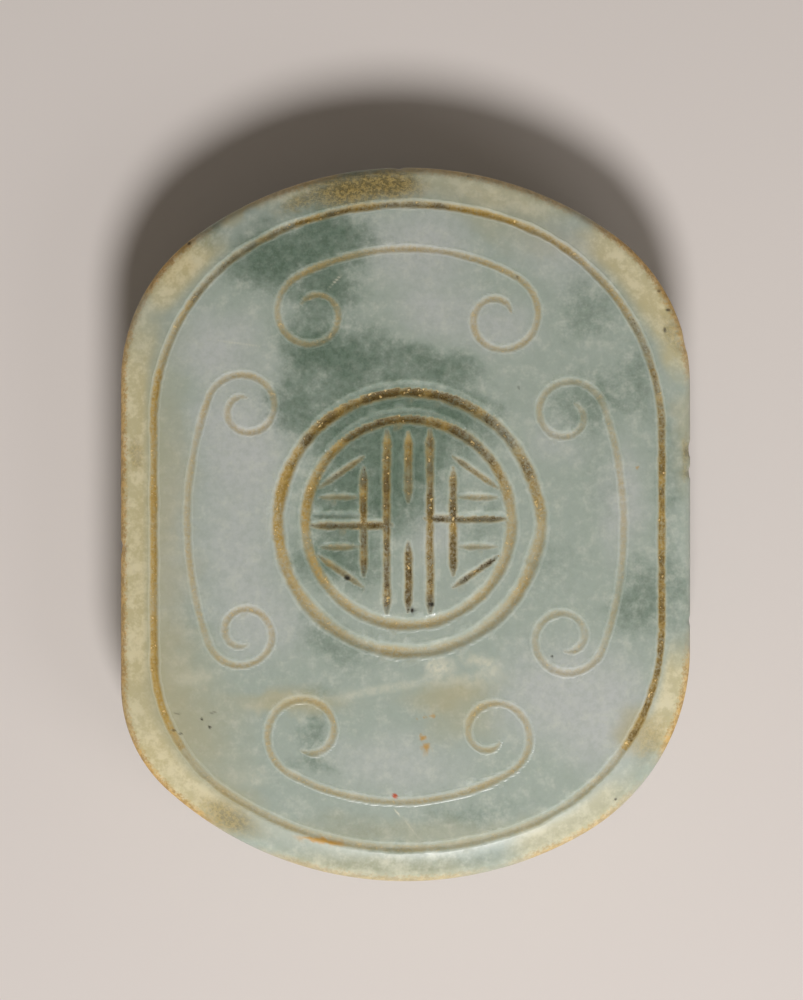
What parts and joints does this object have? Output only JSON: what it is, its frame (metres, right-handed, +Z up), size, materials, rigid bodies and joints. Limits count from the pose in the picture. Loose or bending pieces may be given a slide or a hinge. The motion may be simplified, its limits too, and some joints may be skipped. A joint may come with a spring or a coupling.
{
  "type": "jade belt buckle",
  "caption": "Jade belt buckle: an oval plaque with flat sides, cut with a ringed roundel, scrolls and a border line, with a round strap button on a short neck behind it.",
  "frame": {"origin": "centre of the button's flat foot, on the surface that the buckle lies on", "axes": "+Z up, out of the carved face; +Y along the buckle's length, towards the top of the carved roundel; +X to the right of the carved face"},
  "size_m": [0.051, 0.064, 0.0133],
  "materials": {
    "jade": "polished"
  },
  "bodies": {
    "root": {"jade_buckle": "jade"}
  },
  "joints": []
}
